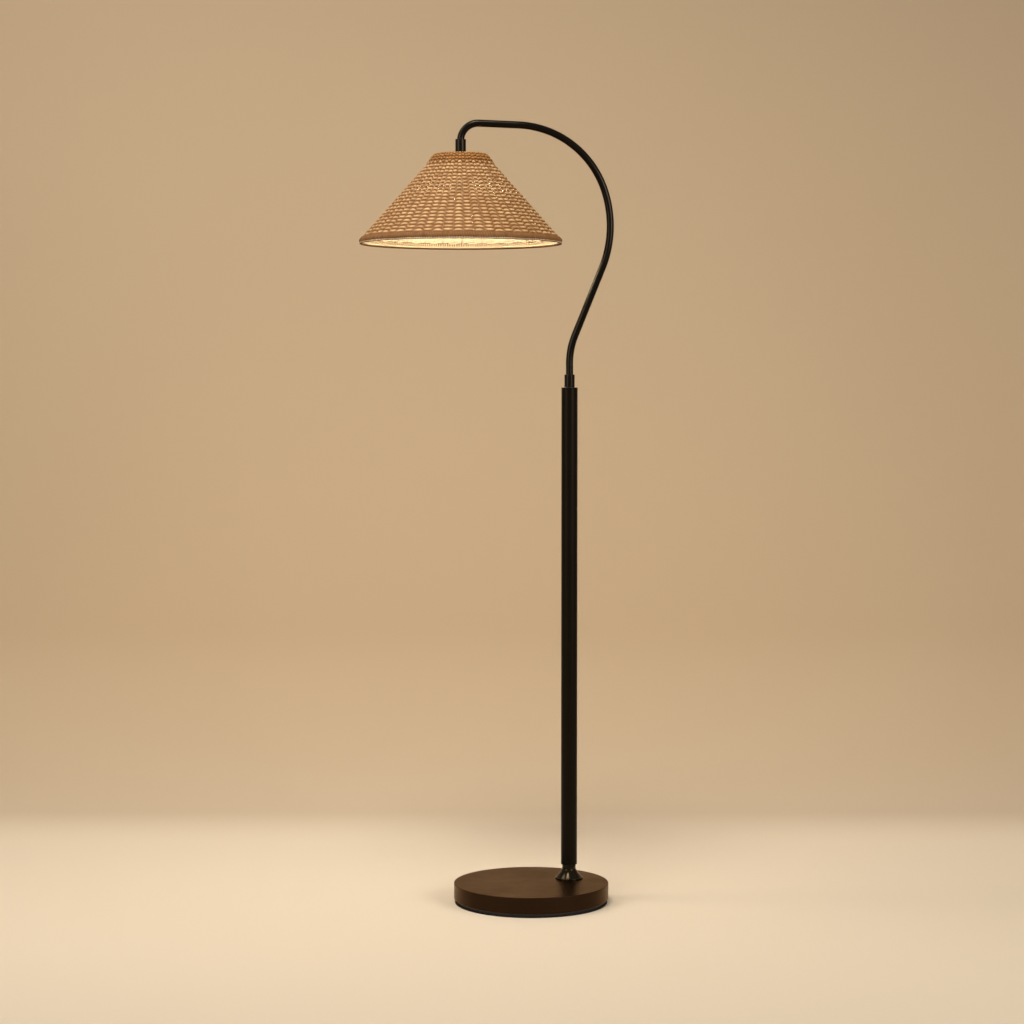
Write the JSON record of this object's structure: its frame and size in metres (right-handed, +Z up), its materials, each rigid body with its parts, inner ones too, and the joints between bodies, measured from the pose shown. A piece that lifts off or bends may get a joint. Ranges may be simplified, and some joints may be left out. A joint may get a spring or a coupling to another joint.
{
  "type": "floor lamp",
  "caption": "Floor lamp with a round weighted base, an upright pole, a bent swivelling arm and a woven rattan cone shade over a lit bulb.",
  "frame": {"origin": "centre of the base's underside, on the floor", "axes": "+Z up; the arm points along -X at rest, and +Y is the back of the lamp as it was pictured"},
  "size_m": [0.5011, 0.3999, 1.5409],
  "materials": {
    "satin_black": "satin powder coat",
    "gloss_black": "gloss enamel",
    "cast_iron": "rough casting",
    "zinc_steel": "zinc plated",
    "brass": "plain",
    "nickel": "nickel plated",
    "black_rubber": "matt",
    "black_nylon": "moulded",
    "black_plastic": "moulded",
    "porcelain": "glazed",
    "lead_sheath": "smooth sheath",
    "bulb_glass": "frosted, lit",
    "stem_glass": "clear",
    "filament": "phosphor, lit",
    "rattan": "woven, unvarnished",
    "rattan_band": "wrapped, unvarnished",
    "frame_wire": "painted wire"
  },
  "bodies": {
    "root": {"foot_pad": "black_rubber", "bottom_plate": "satin_black", "plate_screw_1": "zinc_steel", "plate_screw_2": "zinc_steel", "plate_screw_3": "zinc_steel", "plate_screw_4": "zinc_steel", "base_weight": "cast_iron", "base_cover": "satin_black", "cable_grommet": "black_rubber", "base_washer": "zinc_steel", "base_nut": "zinc_steel", "threaded_tube": "zinc_steel", "pole_flange": "gloss_black", "lower_plug": "zinc_steel", "pole_tube": "satin_black", "upper_plug": "zinc_steel", "stop_pin": "zinc_steel", "upper_bush": "black_nylon", "lower_bush": "black_nylon", "lower_lead": "lead_sheath"},
    "arm": {"arm_tube": "satin_black", "arm_ferrule": "satin_black", "stop_ring": "zinc_steel", "stop_ring_screw": "zinc_steel", "head_collar": "satin_black", "head_nipple": "zinc_steel", "nipple_locknut": "zinc_steel", "holder_cap": "black_plastic", "holder_shell": "black_plastic", "shade_ring_upper": "black_plastic", "shade_ring_lower": "black_plastic", "switch_block": "black_plastic", "contact_block": "porcelain", "screw_shell": "brass", "bulb_cap": "nickel", "bulb_insulator": "black_plastic", "bulb_contact": "brass", "centre_contact": "brass", "bulb_glass": "bulb_glass", "bulb_stem": "stem_glass", "filament_1": "filament", "filament_2": "filament", "filament_3": "filament", "filament_4": "filament", "shade_skin": "rattan", "shade_top": "rattan", "top_band": "rattan_band", "rim_roll": "rattan_band", "shade_frame": "frame_wire", "fitter_spider": "frame_wire", "upper_lead": "lead_sheath"},
    "switch": {"switch_shaft": "brass", "switch_knob": "black_plastic"}
  },
  "joints": [
    {"name": "arm_swivel", "type": "hinge", "parent": "root", "child": "arm", "pos_m": [0.07554, 0.03652, 1], "axis": [0, 0, 1], "range_deg": [-64.2, 115.8]},
    {"name": "switch_turn", "type": "hinge", "parent": "arm", "child": "switch", "pos_m": [-0.13876, 0, 1.42971], "axis": [0, -1, 0], "continuous": true}
  ]
}
